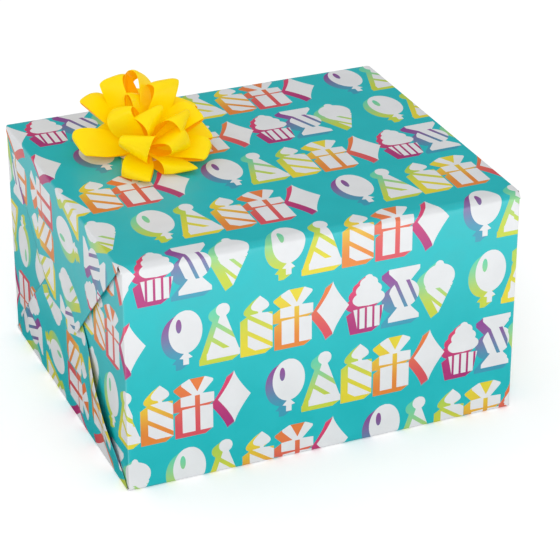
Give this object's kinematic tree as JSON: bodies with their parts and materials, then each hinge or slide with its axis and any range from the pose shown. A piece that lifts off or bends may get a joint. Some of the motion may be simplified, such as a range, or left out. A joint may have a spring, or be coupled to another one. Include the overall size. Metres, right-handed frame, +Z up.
{
  "type": "wrapped gift box with star bow",
  "caption": "Carton wrapped in patterned paper with folded envelope ends that open, topped by a lift-off looped star bow.",
  "frame": {"origin": "centre of the face the box stands on", "axes": "+X along the box's longest side, -Y is the front, +Z is up"},
  "size_m": [0.26, 0.224, 0.1939],
  "materials": {
    "corrugated_board": "matte kraft liner",
    "packing_tape": "clear tan film",
    "wrapping_paper": "semi-gloss print",
    "sticky_tape": "satin film",
    "ribbon": "satin polypropylene ribbon",
    "white_card": "matte",
    "foam": "matte foam",
    "staple_wire": "bright wire"
  },
  "bodies": {
    "box": {"carton_walls": "corrugated_board", "carton_top_front_flap": "corrugated_board", "carton_top_back_flap": "corrugated_board", "carton_top_left_flap": "corrugated_board", "carton_top_right_flap": "corrugated_board", "carton_bottom_front_flap": "corrugated_board", "carton_bottom_back_flap": "corrugated_board", "carton_bottom_left_flap": "corrugated_board", "carton_bottom_right_flap": "corrugated_board", "carton_top_tape": "packing_tape", "carton_bottom_tape": "packing_tape", "paper_belt": "wrapping_paper", "seam_tape": "sticky_tape", "left_front_tuck": "wrapping_paper", "left_back_tuck": "wrapping_paper", "right_front_tuck": "wrapping_paper", "right_back_tuck": "wrapping_paper"},
    "left_top": {"left_top_flap": "wrapping_paper", "left_flap_tape": "sticky_tape"},
    "left_bottom": {"left_bottom_flap": "wrapping_paper"},
    "right_top": {"right_top_flap": "wrapping_paper", "right_flap_tape": "sticky_tape"},
    "right_bottom": {"right_bottom_flap": "wrapping_paper"},
    "bow": {"bow_outer_loops": "ribbon", "bow_middle_loops": "ribbon", "bow_inner_loops": "ribbon", "bow_centre_loop": "ribbon", "bow_card": "white_card", "bow_foam_pad": "foam", "bow_staple": "staple_wire"}
  },
  "joints": [
    {"name": "left_top_open", "type": "hinge", "parent": "box", "child": "left_top", "pos_m": [-0.13, 0, 0.151], "axis": [0, 1, 0], "range_deg": [0, 120]},
    {"name": "left_bottom_open", "type": "hinge", "parent": "box", "child": "left_bottom", "pos_m": [-0.13, 0, 0], "axis": [0, -1, 0], "range_deg": [0, 84]},
    {"name": "right_top_open", "type": "hinge", "parent": "box", "child": "right_top", "pos_m": [0.13, 0, 0.151], "axis": [0, -1, 0], "range_deg": [0, 120]},
    {"name": "right_bottom_open", "type": "hinge", "parent": "box", "child": "right_bottom", "pos_m": [0.13, 0, 0], "axis": [0, 1, 0], "range_deg": [0, 84]},
    {"name": "bow_lift", "type": "slide", "parent": "box", "child": "bow", "axis": [0, 0, 1], "range_m": [0, 0.08]}
  ],
  "couplings": [
    {"joint": "left_bottom_open", "follows": "left_top_open", "ratio": 0.7},
    {"joint": "right_bottom_open", "follows": "right_top_open", "ratio": 0.7}
  ]
}
